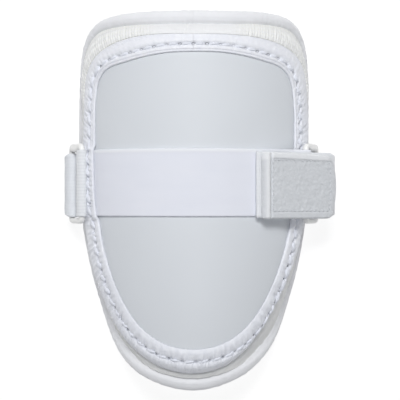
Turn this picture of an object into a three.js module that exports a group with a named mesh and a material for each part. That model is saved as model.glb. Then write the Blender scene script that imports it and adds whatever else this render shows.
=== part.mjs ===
// An elbow guard for batting, lying on its back with the hard plate up.
// +X is to the wearer's side of the strap's tab, +Y is the wide end, +Z is away from the arm.
// Everything that follows the arm is placed by s (length round the arch), y (length
// along the arm) and n (height over the arch), all in millimetres.
import * as THREE from "three";
import { mergeVertices } from "three/addons/utils/BufferGeometryUtils.js";

// ---- driving sizes, mm ----
const PLATE_TOP = 1.0; // n of the plate's outer face
const PLATE_BOTTOM = -1.2;
const PAD_TOP = -3.3; // n of the pad's outer face
const PAD_BOTTOM = -12.2;
const RIM_N = -7.0; // n of the middle of the rolled rim
const RIM_RADIUS = 4.2;
const RIM_SIDES = 12;
const PAD_TO_RIM = 5.2; // from the middle of the roll to the pad's edge wall
const DENT_HEIGHT = 2.95; // the rim is pressed up to here over the strap
const DENT_LOW = -12.6;
const DENT_HIGH = 28.8;
const DENT_RAMP = 3.4;
const BAND_THICK = 1.1;
const BAND_LOW = -8.9; // y of the elastic band's edges
const BAND_HIGH = 28.0;
const STRAP_THICK = 2.2;
const STRAP_LOW = -9.7;
const STRAP_HIGH = 26.4;
const STRAP_FLOOR = 1.25; // height of the strap's middle where it lies flat
const TAB_THICK = 2.6;
const TAB_LOW = -10.4;
const TAB_HIGH = 26.2;
const TAB_SLOPE = 28.5; // degrees that the tab runs down outwards
const RING_BAR = 1.7; // radius of the ring's bar
const RING_HALF_LENGTH = 20.9; // middle of the ring to the middle of its end bar
const RING_CORNER = 2.4;
const RING_Y = 9.2;
const RING_INNER = { x: 62.5, z: 28.5 }; // middles of the two long bars
const RING_OUTER = { x: 69.3, z: 14.6 };
const ANCHOR_THICK = 1.1;
const ANCHOR_LOW = -9.2;
const ANCHOR_HIGH = 27.6;

// The part's origin is under the middle of its box. The arm's axis is this far from it.
const MIDDLE_X = 2.921;
const MIDDLE_Y = -0.858;

// ---- the arch: one circular section for each row ----
const SECTIONS = [
  { y: -110, radius: 54.0, crown: 38.0 },
  { y: -95, radius: 54.2, crown: 41.8 },
  { y: -80, radius: 54.6, crown: 45.2 },
  { y: -63, radius: 58.2, crown: 48.1 },
  { y: -45, radius: 63.8, crown: 50.2 },
  { y: -25, radius: 68.8, crown: 51.9 },
  { y: -5, radius: 72.2, crown: 52.9 },
  { y: 15, radius: 73.0, crown: 53.2 },
  { y: 60, radius: 73.0, crown: 53.2 },
  { y: 85, radius: 72.6, crown: 52.6 },
  { y: 110, radius: 71.9, crown: 51.5 },
];

// ---- three outlines, unrolled: distance from the middle at each clock angle from +Y ----
const OUTLINES = [
  { clock: 0, plate: 79.9, binding: 89.5, rim: 99.7 },
  { clock: 10, plate: 81.3, binding: 91.1, rim: 101.0 },
  { clock: 20, plate: 84.0, binding: 94.6, rim: 105.6 },
  { clock: 28, plate: 86.8, binding: 97.6, rim: 111.4 },
  { clock: 34, plate: 89.4, binding: 99.6, rim: 116.8 },
  { clock: 38, plate: 90.0, binding: 100.6, rim: 119.2 },
  { clock: 42, plate: 88.8, binding: 100.4, rim: 119.8 },
  { clock: 46, plate: 85.2, binding: 98.4, rim: 118.2 },
  { clock: 52, plate: 78.8, binding: 92.5, rim: 111.9 },
  { clock: 60, plate: 71.5, binding: 84.8, rim: 102.6 },
  { clock: 72, plate: 65.2, binding: 77.2, rim: 93.2 },
  { clock: 90, plate: 61.1, binding: 73.5, rim: 88.2 },
  { clock: 105, plate: 60.5, binding: 74.8, rim: 88.5 },
  { clock: 118, plate: 62.1, binding: 77.6, rim: 91.7 },
  { clock: 130, plate: 64.8, binding: 81.2, rim: 95.6 },
  { clock: 140, plate: 68.3, binding: 84.3, rim: 98.0 },
  { clock: 150, plate: 72.6, binding: 87.3, rim: 99.2 },
  { clock: 160, plate: 77.0, binding: 90.3, rim: 100.8 },
  { clock: 170, plate: 80.2, binding: 93.3, rim: 102.4 },
  { clock: 180, plate: 81.2, binding: 94.3, rim: 103.2 },
];

// ---- the binding's hollow section: across from its inner edge (0) to its outer edge (1) ----
const BINDING_SECTION = [
  { across: 0.0, n: 1.42 },
  { across: 0.0, n: 2.15 },
  { across: 0.26, n: 2.5 },
  { across: 0.62, n: 1.95 },
  { across: 1.0, n: 0.5 },
  { across: 1.0, n: -2.7 },
  { across: 0.1, n: -2.7 },
  { across: 0.1, n: -1.72 },
  { across: 0.6, n: -1.72 },
  { across: 0.6, n: 1.42 },
];
const PLATE_UNDER_BINDING = 0.5;

// ---- the strap's route in the plane across the arm, from its sewn end on the left ----
const STRAP_LEFT = [
  { x: -66.3, z: 9.2 },
  { x: -66.1, z: 12.0 },
  { x: -66.1, z: 14.8 },
  { x: -67.3, z: 17.2 },
  { x: -69.4, z: 17.9 },
  { x: -71.6, z: 17.0 },
  { x: -72.6, z: 14.8 },
  { x: -72.5, z: 11.6 },
  { x: -71.8, z: 8.2 },
  { x: -70.6, z: 5.0 },
  { x: -68.8, z: 2.7 },
  { x: -66.0, z: 1.4 },
];
const STRAP_RIGHT = [
  { x: 66.0, z: 1.4 },
  { x: 68.6, z: 2.9 },
  { x: 69.2, z: 5.4 },
  { x: 68.2, z: 8.4 },
  { x: 66.5, z: 11.4 },
  { x: 66.1, z: 14.4 },
  { x: 67.0, z: 17.0 },
  { x: 69.4, z: 17.9 },
  { x: 73.2, z: 17.7 },
  { x: 76.4, z: 18.6 },
  { x: 78.1, z: 20.4 },
  { x: 78.5, z: 22.6 },
  { x: 77.7, z: 24.6 },
  { x: 76.1, z: 26.2 },
];

const rad = THREE.MathUtils.degToRad;

// A smooth curve through the rows of a table.
function through(rows, key, column) {
  const last = rows.length - 1;
  const slope = (i) => (rows[i + 1][column] - rows[i][column]) / (rows[i + 1][key] - rows[i][key]);
  const tangent = (i) => {
    if (i === 0 || i === last) return 0;
    const before = rows[i][key] - rows[i - 1][key];
    const after = rows[i + 1][key] - rows[i][key];
    return (slope(i - 1) * after + slope(i) * before) / (before + after);
  };
  return (at) => {
    let i = 0;
    while (i < last - 1 && at > rows[i + 1][key]) i += 1;
    const h = rows[i + 1][key] - rows[i][key];
    const t = Math.min(1, Math.max(0, (at - rows[i][key]) / h));
    const t2 = t * t;
    const t3 = t2 * t;
    return (
      (2 * t3 - 3 * t2 + 1) * rows[i][column] +
      (t3 - 2 * t2 + t) * h * tangent(i) +
      (3 * t2 - 2 * t3) * rows[i + 1][column] +
      (t3 - t2) * h * tangent(i + 1)
    );
  };
}

const radiusAt = through(SECTIONS, "y", "radius");
const crownAt = through(SECTIONS, "y", "crown");
const outline = {
  plate: through(OUTLINES, "clock", "plate"),
  binding: through(OUTLINES, "clock", "binding"),
  rim: through(OUTLINES, "clock", "rim"),
};

// A point of the arch itself, and one at height n over it.
function arch(s, y) {
  const radius = radiusAt(y);
  return new THREE.Vector3(radius * Math.sin(s / radius), y, crownAt(y) - radius * (1 - Math.cos(s / radius)));
}
function archNormal(s, y) {
  const step = 0.05;
  const round = arch(s + step, y).sub(arch(s - step, y));
  const along = arch(s, y + step).sub(arch(s, y - step));
  return round.cross(along).normalize();
}
function over(s, y, n) {
  return arch(s, y).addScaledVector(archNormal(s, y), n);
}

// A point of an unrolled outline, clock in degrees all the way round.
function edgePoint(name, clock) {
  const half = clock > 180 ? 360 - clock : clock;
  const distance = outline[name](half);
  return new THREE.Vector2(distance * Math.sin(rad(clock)), distance * Math.cos(rad(clock)));
}
// The direction in the unrolled plane square to an outline, pointing outwards.
function edgeOut(name, clock) {
  const before = edgePoint(name, (clock + 359.5) % 360);
  const after = edgePoint(name, (clock + 0.5) % 360);
  const run = after.sub(before).normalize();
  return new THREE.Vector2(-run.y, run.x);
}
// Clock angles with a step of its own in each range, mirrored to the other half.
function clocks(ranges) {
  const half = [];
  for (const { from, to, step } of ranges) for (let c = from; c < to - 1e-6; c += step) half.push(c);
  const other = half.filter((c) => c > 0).map((c) => 360 - c);
  return [...half, 180, ...other.reverse()];
}

// A closed solid from loops of equal length. "ring" joins the last loop to the first,
// "poles" closes each end to one point, "flat" closes each end across its own loop.
function solid(loops, ends, poles = []) {
  const size = loops[0].length;
  const points = loops.flat();
  const faces = [];
  const bands = ends === "ring" ? loops.length : loops.length - 1;
  for (let i = 0; i < bands; i += 1) {
    const here = i * size;
    const next = ((i + 1) % loops.length) * size;
    for (let j = 0; j < size; j += 1) {
      const k = (j + 1) % size;
      faces.push([here + j, here + k, next + k], [here + j, next + k, next + j]);
    }
  }
  if (ends === "poles") {
    const first = points.push(poles[0]) - 1;
    const last = points.push(poles[1]) - 1;
    const end = (loops.length - 1) * size;
    for (let j = 0; j < size; j += 1) {
      const k = (j + 1) % size;
      faces.push([first, k, j], [last, end + j, end + k]);
    }
  }
  if (ends === "flat") {
    const end = (loops.length - 1) * size;
    for (let j = 0; j < size / 2 - 1; j += 1) {
      const k = size - 1 - j;
      faces.push([j, k, k - 1], [j, k - 1, j + 1]);
      faces.push([end + j, end + k - 1, end + k], [end + j, end + j + 1, end + k - 1]);
    }
  }
  let volume = 0;
  for (const [a, b, c] of faces) volume += points[a].dot(points[b].clone().cross(points[c])) / 6;
  const position = [];
  for (const [a, b, c] of faces) {
    for (const p of volume > 0 ? [a, b, c] : [a, c, b]) position.push(points[p].x, points[p].y, points[p].z);
  }
  const geometry = new THREE.BufferGeometry();
  geometry.setAttribute("position", new THREE.Float32BufferAttribute(position, 3));
  const merged = mergeVertices(geometry, 1e-4);
  merged.computeVertexNormals();
  return merged;
}

// A plate or pad that follows the arch between two heights, inside an outline.
function layer(rimPoint, stations, levels, top, bottom) {
  const loopAt = (level, n) => stations.map((clock) => over(...rimPoint(clock, level), n));
  const loops = [...levels.map((level) => loopAt(level, top)), ...[...levels].reverse().map((level) => loopAt(level, bottom))];
  return solid(loops, "poles", [over(0, 0, top), over(0, 0, bottom)]);
}

// A strip of cloth: its middle line in the X-Z plane, swept between two y edges.
function strip(lineAt, ys, thick) {
  const lines = ys.map((y) => {
    const line = lineAt(y);
    return line.map((p, i) => {
      const a = line[Math.max(0, i - 1)];
      const b = line[Math.min(line.length - 1, i + 1)];
      const run = new THREE.Vector2(b.x - a.x, b.z - a.z).normalize();
      return { p, side: new THREE.Vector2(-run.y, run.x).multiplyScalar(thick / 2) };
    });
  });
  const loops = lines[0].map((_, i) => {
    const upper = lines.map((line, j) => new THREE.Vector3(line[i].p.x + line[i].side.x, ys[j], line[i].p.z + line[i].side.y));
    const lower = lines.map((line, j) => new THREE.Vector3(line[i].p.x - line[i].side.x, ys[j], line[i].p.z - line[i].side.y));
    return [...upper, ...lower.reverse()];
  });
  return solid(loops, "flat");
}
const evenly = (from, to, count) => Array.from({ length: count }, (_, i) => from + ((to - from) * i) / (count - 1));

// A smooth line through a few points, with a point about every few millimetres.
function smooth(points, pitch) {
  const curve = new THREE.CatmullRomCurve3(points.map(({ x, z }) => new THREE.Vector3(x, 0, z)), false, "centripetal");
  return curve.getSpacedPoints(Math.round(curve.getLength() / pitch));
}

// ---- the plate, its binding, the pad and the rolled rim ----
const coarse = clocks([
  { from: 0, to: 30, step: 6 },
  { from: 30, to: 50, step: 4 },
  { from: 50, to: 68, step: 6 },
  { from: 68, to: 180, step: 7 },
]);
const fine = clocks([
  { from: 0, to: 30, step: 6 },
  { from: 30, to: 50, step: 4 },
  { from: 50, to: 65, step: 5 },
  { from: 65, to: 105, step: 2.5 },
  { from: 105, to: 180, step: 7.5 },
]);

function platePoint(clock, level) {
  const inner = edgePoint("plate", clock);
  if (level <= 1) return inner.multiplyScalar(level).toArray();
  return inner.lerp(edgePoint("binding", clock), PLATE_UNDER_BINDING).toArray();
}
function padPoint(clock, level) {
  return edgePoint("rim", clock).addScaledVector(edgeOut("rim", clock), -PAD_TO_RIM).multiplyScalar(level).toArray();
}

const shellGeometry = layer(platePoint, coarse, [0.36, 0.66, 0.88, 1, 2], PLATE_TOP, PLATE_BOTTOM);
const padGeometry = layer(padPoint, coarse, [0.36, 0.66, 0.88, 1], PAD_TOP, PAD_BOTTOM);

const bindingGeometry = solid(
  coarse.map((clock) =>
    BINDING_SECTION.map(({ across, n }) => {
      const at = edgePoint("plate", clock).lerp(edgePoint("binding", clock), across);
      return over(at.x, at.y, n);
    }),
  ),
  "ring",
);

// The rim is a roll round the pad's edge, flat where it rests and dented over the strap.
function restHeight(y) {
  const outside = Math.max(DENT_LOW - y, y - DENT_HIGH, 0);
  return DENT_HEIGHT * Math.max(0, 1 - outside / DENT_RAMP);
}
const rimGeometry = solid(
  fine.map((clock) => {
    const at = edgePoint("rim", clock);
    const middle = over(at.x, at.y, RIM_N);
    const up = archNormal(at.x, at.y);
    const out = edgeOut("rim", clock);
    const outer = over(at.x + out.x, at.y + out.y, RIM_N).sub(middle);
    outer.addScaledVector(up, -outer.dot(up)).normalize();
    return evenly(0, 360, RIM_SIDES + 1)
      .slice(0, RIM_SIDES)
      .map((turn) => {
        const p = middle
          .clone()
          .addScaledVector(up, RIM_RADIUS * Math.cos(rad(turn)))
          .addScaledVector(outer, RIM_RADIUS * Math.sin(rad(turn)));
        p.z = Math.max(p.z, at.x !== 0 && Math.abs(at.x) > 60 ? restHeight(p.y) : 0);
        return p;
      });
  }),
  "ring",
);

// ---- the rings, from a rounded rectangle of round bar ----
function ringGeometry(side) {
  const inner = new THREE.Vector3(side * RING_INNER.x, RING_Y, RING_INNER.z);
  const outer = new THREE.Vector3(side * RING_OUTER.x, RING_Y, RING_OUTER.z);
  const middle = inner.clone().lerp(outer, 0.5);
  const across = outer.clone().sub(inner);
  const halfWidth = across.length() / 2;
  across.normalize();
  const along = new THREE.Vector3(0, 1, 0);
  const path = [];
  const corners = [
    { w: 1, l: 1, from: 0 },
    { w: -1, l: 1, from: 90 },
    { w: -1, l: -1, from: 180 },
    { w: 1, l: -1, from: 270 },
  ];
  for (const { w, l, from } of corners) {
    for (const turn of evenly(from, from + 90, 4)) {
      path.push({
        w: w * (halfWidth - RING_CORNER) + RING_CORNER * Math.cos(rad(turn)),
        l: l * (RING_HALF_LENGTH - RING_CORNER) + RING_CORNER * Math.sin(rad(turn)),
        outW: Math.cos(rad(turn)),
        outL: Math.sin(rad(turn)),
      });
    }
  }
  const up = across.clone().cross(along);
  const loops = path.map(({ w, l, outW, outL }) => {
    const at = middle.clone().addScaledVector(across, w).addScaledVector(along, l);
    const out = across.clone().multiplyScalar(outW).addScaledVector(along, outL);
    return evenly(0, 360, 9)
      .slice(0, 8)
      .map((turn) =>
        at
          .clone()
          .addScaledVector(out, RING_BAR * Math.cos(rad(turn)))
          .addScaledVector(up, RING_BAR * Math.sin(rad(turn))),
      );
  });
  return solid(loops, "ring");
}

// ---- the webbing round the rings' inner bars ----
// A turn about a bar: angle 0 is away from the arm, 90 is into the ring's slot.
function aboutBar(side, radius, turns) {
  const slope = Math.atan2(RING_INNER.x, RING_INNER.z - (crownAt(RING_Y) - radiusAt(RING_Y)));
  return turns.map((turn) => ({
    x: side * (RING_INNER.x + radius * Math.sin(slope + rad(turn))),
    z: RING_INNER.z + radius * Math.cos(slope + rad(turn)),
  }));
}
const aboutRadius = RING_BAR + 0.35 + BAND_THICK / 2;
const onArch = (s, y, n) => {
  const p = over(s, y, n);
  return { x: p.x, z: p.z };
};

// The elastic band starts at the binding on the left, crosses the plate, rises over the
// binding on the right and holds the right ring.
const BAND_START = -58.2;
const BAND_N = PLATE_TOP + 0.4 + BAND_THICK / 2;
const BAND_RISE = [
  { s: 48, n: 1.95 },
  { s: 52, n: 2.1 },
  { s: 55.2, n: 3.0 },
  { s: 58, n: 3.9 },
  { s: 61.6, n: 6.2 },
];
function bandLine(y) {
  const flat = evenly(BAND_START, 44, 18).map((s) => onArch(s, y, BAND_N));
  const rise = BAND_RISE.map(({ s, n }) => onArch(s, y, n));
  return [...flat, ...rise, ...aboutBar(1, aboutRadius, [-22, 8, 38, 68, 98, 128, 158, 180]), ...bandEnd(1)];
}
function bandEnd(side) {
  const [last, before] = aboutBar(side, aboutRadius, [180, 179]);
  const run = { x: last.x - before.x, z: last.z - before.z };
  const length = Math.hypot(run.x, run.z);
  return [{ x: last.x + (run.x / length) * 1.6, z: last.z + (run.z / length) * 1.6 }];
}
function anchorLine() {
  const start = onArch(-60.4, RING_Y, 4.6);
  const next = onArch(-62.2, RING_Y, 6.3);
  return [start, next, ...aboutBar(-1, aboutRadius, [-22, 8, 38, 68, 98, 128, 158, 180]), ...bandEnd(-1)];
}

// ---- the strap's tab end: a straight run, tangent to the arch at TAB_SLOPE ----
function tabRun(n, from, to, count) {
  const slope = rad(TAB_SLOPE);
  const axis = crownAt(RING_Y) - radiusAt(RING_Y);
  const reach = radiusAt(RING_Y) + n;
  const foot = { x: reach * Math.sin(slope), z: axis + reach * Math.cos(slope) };
  return evenly(from, to, count).map((x) => ({ x, z: foot.z - (x - foot.x) * Math.tan(slope) }));
}
const STRAP_N = BAND_N + BAND_THICK / 2 + 0.4 + STRAP_THICK / 2;
const TAB_N = STRAP_N + STRAP_THICK / 2 + 0.3 + TAB_THICK / 2;
const strapRoute = [...smooth(STRAP_LEFT, 2.2), ...evenly(-56, 56, 7).map((x) => ({ x, z: STRAP_FLOOR })), ...smooth(STRAP_RIGHT, 2.2), ...tabRun(STRAP_N, 34.2, 74.4, 6).reverse()];
const tabRoute = [...tabRun(TAB_N, 37.2, 77.0, 8)];

// ---- the scene ----
const finish = (color, roughness) => new THREE.MeshStandardMaterial({ color, roughness, metalness: 0 });
const guard = new THREE.Group();
guard.position.set(-MIDDLE_X, -MIDDLE_Y, 0);
function add(name, geometry, material) {
  const mesh = new THREE.Mesh(geometry, material);
  mesh.name = name;
  guard.add(mesh);
}
add("shell_plate", shellGeometry, finish(0xd6dade, 0.42));
add("edge_binding", bindingGeometry, finish(0xe0e3ec, 0.55));
add("pad_body", padGeometry, finish(0xe4e5e6, 0.9));
add("pad_rim", rimGeometry, finish(0xeeeff2, 0.85));
add("front_band", strip(bandLine, evenly(BAND_LOW, BAND_HIGH, 4), BAND_THICK), finish(0xdfe1ec, 0.8));
add("ring_left", ringGeometry(-1), finish(0xd9d9d6, 0.4));
add("ring_right", ringGeometry(1), finish(0xd9d9d6, 0.4));
add("anchor_left", strip(anchorLine, [ANCHOR_LOW, ANCHOR_HIGH], ANCHOR_THICK), finish(0xdcdfe4, 0.85));
add("rear_strap", strip(() => strapRoute, [STRAP_LOW, STRAP_HIGH], STRAP_THICK), finish(0xd8dce2, 0.85));
add("hook_tab", strip(() => tabRoute, [TAB_LOW, TAB_HIGH], TAB_THICK), finish(0xc3c7cc, 0.95));

export default guard;
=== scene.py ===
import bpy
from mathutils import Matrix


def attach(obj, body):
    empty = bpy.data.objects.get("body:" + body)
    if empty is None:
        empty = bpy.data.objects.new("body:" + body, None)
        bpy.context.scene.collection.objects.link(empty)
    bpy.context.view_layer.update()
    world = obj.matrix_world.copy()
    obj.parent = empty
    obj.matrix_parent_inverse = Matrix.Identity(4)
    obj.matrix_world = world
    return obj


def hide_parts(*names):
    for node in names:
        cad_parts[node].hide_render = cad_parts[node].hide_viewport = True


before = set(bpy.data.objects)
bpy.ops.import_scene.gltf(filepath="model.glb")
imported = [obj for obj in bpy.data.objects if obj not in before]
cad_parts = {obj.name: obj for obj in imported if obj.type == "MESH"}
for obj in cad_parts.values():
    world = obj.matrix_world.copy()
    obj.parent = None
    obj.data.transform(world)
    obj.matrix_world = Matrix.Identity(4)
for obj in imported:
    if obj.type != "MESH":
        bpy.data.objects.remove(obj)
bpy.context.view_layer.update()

import math

import bpy
import numpy as np
from mathutils import Vector

MM = 0.001
# The part's origin is under the middle of its box; the arm's axis is this far from it.
MIDDLE_X, MIDDLE_Y = 2.921, -0.858

# ---------------------------------------------------------------- the arch and its outlines
# One circular section for each row: y along the arm, radius, height of the crown, in mm.
SECTIONS = [
    (-110, 54.0, 38.0), (-95, 54.2, 41.8), (-80, 54.6, 45.2), (-63, 58.2, 48.1),
    (-45, 63.8, 50.2), (-25, 68.8, 51.9), (-5, 72.2, 52.9), (15, 73.0, 53.2),
    (60, 73.0, 53.2), (85, 72.6, 52.6), (110, 71.9, 51.5),
]
# Unrolled outlines: clock angle from +Y, then the distance to the plate's visible edge,
# to the binding's outer edge and to the middle of the rolled rim.
OUTLINES = [
    (0, 79.9, 89.5, 99.7), (10, 81.3, 91.1, 101.0), (20, 84.0, 94.6, 105.6),
    (28, 86.8, 97.6, 111.4), (34, 89.4, 99.6, 116.8), (38, 90.0, 100.6, 119.2),
    (42, 88.8, 100.4, 119.8), (46, 85.2, 98.4, 118.2), (52, 78.8, 92.5, 111.9),
    (60, 71.5, 84.8, 102.6), (72, 65.2, 77.2, 93.2), (90, 61.1, 73.5, 88.2),
    (105, 60.5, 74.8, 88.5), (118, 62.1, 77.6, 91.7), (130, 64.8, 81.2, 95.6),
    (140, 68.3, 84.3, 98.0), (150, 72.6, 87.3, 99.2), (160, 77.0, 90.3, 100.8),
    (170, 80.2, 93.3, 102.4), (180, 81.2, 94.3, 103.2),
]


def through(x, v):
    """A smooth curve through the rows of a table, flat at both ends."""
    x, v = np.asarray(x, float), np.asarray(v, float)
    h = np.diff(x)
    slope = np.diff(v) / h
    tangent = np.zeros(len(x))
    tangent[1:-1] = (slope[:-1] * h[1:] + slope[1:] * h[:-1]) / (h[:-1] + h[1:])

    def at(q):
        q = np.asarray(q, float)
        i = np.clip(np.searchsorted(x, q, side="left") - 1, 0, len(x) - 2)
        t = np.clip((q - x[i]) / h[i], 0, 1)
        t2, t3 = t * t, t * t * t
        return (
            (2 * t3 - 3 * t2 + 1) * v[i] + (t3 - 2 * t2 + t) * h[i] * tangent[i]
            + (3 * t2 - 2 * t3) * v[i + 1] + (t3 - t2) * h[i] * tangent[i + 1]
        )

    return at


radius_at = through([r[0] for r in SECTIONS], [r[1] for r in SECTIONS])
crown_at = through([r[0] for r in SECTIONS], [r[2] for r in SECTIONS])


def arch(s, y):
    radius = radius_at(y)
    turn = s / radius
    return np.stack([radius * np.sin(turn), y + 0 * turn, crown_at(y) - radius * (1 - np.cos(turn))], -1)


def arch_normal(s, y):
    step = 0.05
    n = np.cross(arch(s + step, y) - arch(s - step, y), arch(s, y + step) - arch(s, y - step))
    return n / np.linalg.norm(n, axis=-1, keepdims=True)


def over(s, y, n):
    """The point at height n over the arch, in mm, arm frame."""
    s, y, n = np.broadcast_arrays(np.asarray(s, float), np.asarray(y, float), np.asarray(n, float))
    return arch(s, y) + n[..., None] * arch_normal(s, y)


def blurred(values, sigma):
    """A closed row of values, blurred by sigma samples."""
    count = len(values)
    k = np.fft.rfftfreq(count) * count
    low = np.exp(-0.5 * (2 * np.pi * k * sigma / count) ** 2)
    return np.fft.irfft(np.fft.rfft(values, axis=0) * (low[:, None] if values.ndim > 1 else low), count, axis=0)


CLOCK = np.linspace(0, 360, 1440, endpoint=False)
_half = np.where(CLOCK > 180, 360 - CLOCK, CLOCK)


# The two sides differ a little: clock from +Y, then the change on the right and on the left.
UNEVEN = {
    1: [(0, 0, 0), (10, -0.3, -0.6), (20, -0.9, -1.6), (28, -1.1, -2.0), (34, -0.6, -1.3), (40, -0.2, -1.5),
        (47, 0, -2.1), (60, 0, -2.0), (90, 0, -2.0), (105, 0, -1.9), (118, 0, -1.2), (132, 0, -0.4), (150, 0, 0), (180, 0, 0)],
    2: [(0, 0, 0), (24, 0.4, 0), (34, 2.0, 0.1), (44, 4.2, 0), (54, 5.6, -0.4), (62, 5.0, -0.5), (71, 2.9, -0.6), (88, 2.2, -0.6),
        (102, 0.4, -0.6), (116, -2.2, 0), (127, -4.1, 0.5), (138, -4.9, 1.2), (150, -3.6, 1.6), (164, -0.4, 1.5), (180, 1.5, 1.5)],
    3: [(0, 0, 0), (14, 0.4, 0.2), (26, 1.6, 0.6), (40, 2.2, 0.4), (52, 1.6, 0.3), (62, 0.6, 0.8), (90, 0, 0.4),
        (112, 0.8, 0), (124, 1.7, 0), (134, 1.6, 0), (144, 0, 0), (154, -1.2, 0), (166, -0.8, 0), (180, 0, 0)],
}


def outline(column, sigma):
    distance = through([r[0] for r in OUTLINES], [r[column] for r in OUTLINES])(_half)
    for side in (1, 2):
        change = through([r[0] for r in UNEVEN[column]], [r[side] for r in UNEVEN[column]])(_half)
        distance = distance + change * ((CLOCK > 180) if side == 2 else (CLOCK <= 180))
    distance = blurred(distance, sigma)
    a = np.radians(CLOCK)
    return np.stack([distance * np.sin(a), distance * np.cos(a)], -1)


EDGE = {"plate": outline(1, 8), "binding": outline(2, 8), "rim": outline(3, 8)}


class Stations:
    """Equal steps along one outline, with the matching points of the others."""

    def __init__(self, name, count, start=0.0):
        line = EDGE[name]
        step = np.linalg.norm(np.roll(line, -1, 0) - line, axis=1)
        length = np.concatenate([[0], np.cumsum(step)])
        self.length, self.count = float(length[-1]), count
        want = (np.arange(count) + start) / count * self.length
        self.along = want
        where = np.interp(want, length, np.arange(len(line) + 1))
        self.clock = where / len(line) * 360
        self.at = {k: self._pick(v, where) for k, v in EDGE.items()}
        self.out = {}
        for key, value in self.at.items():
            run = np.roll(value, -1, 0) - np.roll(value, 1, 0)
            run /= np.linalg.norm(run, axis=1, keepdims=True)
            self.out[key] = np.stack([-run[:, 1], run[:, 0]], -1)
        self.half = np.where(self.clock > 180, 360 - self.clock, self.clock)

    @staticmethod
    def _pick(line, where):
        i = np.floor(where).astype(int)
        f = (where - i)[:, None]
        return line[i % len(line)] * (1 - f) + line[(i + 1) % len(line)] * f


def ramp(x, low, high):
    t = np.clip((np.asarray(x, float) - low) / (high - low), 0, 1)
    return t * t * (3 - 2 * t)


def window(x, low, high, soft):
    return ramp(x, low - soft, low) * (1 - ramp(x, high, high + soft))


def ripple(t, u, cycles, seed, waves=14, lean=1.5):
    """Seeded wrinkles round a loop: t from 0 to 1 round it, u across it."""
    rng = np.random.default_rng(seed)
    total = 0
    for _ in range(waves):
        k = rng.integers(cycles[0], cycles[1])
        total = total + rng.uniform(0.5, 1.0) * np.sin(
            2 * np.pi * k * t + rng.uniform(0, 2 * np.pi) + rng.uniform(-lean, lean) * u * 2 * np.pi
        )
    return total / math.sqrt(waves * 0.35)


def mottle(x, y, size, seed, waves=24):
    """Seeded soft unevenness over a plane, about -1 to 1, with features of about size."""
    rng = np.random.default_rng(seed)
    total = 0
    for _ in range(waves):
        a = rng.uniform(0, 2 * np.pi)
        k = 2 * np.pi / (size * rng.uniform(0.7, 1.8))
        total = total + np.sin(k * (x * math.cos(a) + y * math.sin(a)) + rng.uniform(0, 2 * np.pi))
    return total / math.sqrt(waves * 1.2)


# ---------------------------------------------------------------- camera and floor
camera_data = bpy.data.cameras.new("camera")
camera_data.sensor_width = 36
camera_data.lens = 116.9
camera_data.clip_start, camera_data.clip_end = 0.05, 20
camera = bpy.data.objects.new("camera", camera_data)
bpy.context.scene.collection.objects.link(camera)
camera.location = (0.00059, 0.00086, 0.754)
camera.rotation_euler = (0, 0, 0)
bpy.context.scene.camera = camera


# ---------------------------------------------------------------- materials
def linear(rgb):
    return tuple(((c / 255 + 0.055) / 1.055) ** 2.4 if c > 10 else c / 255 / 12.92 for c in rgb)


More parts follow.
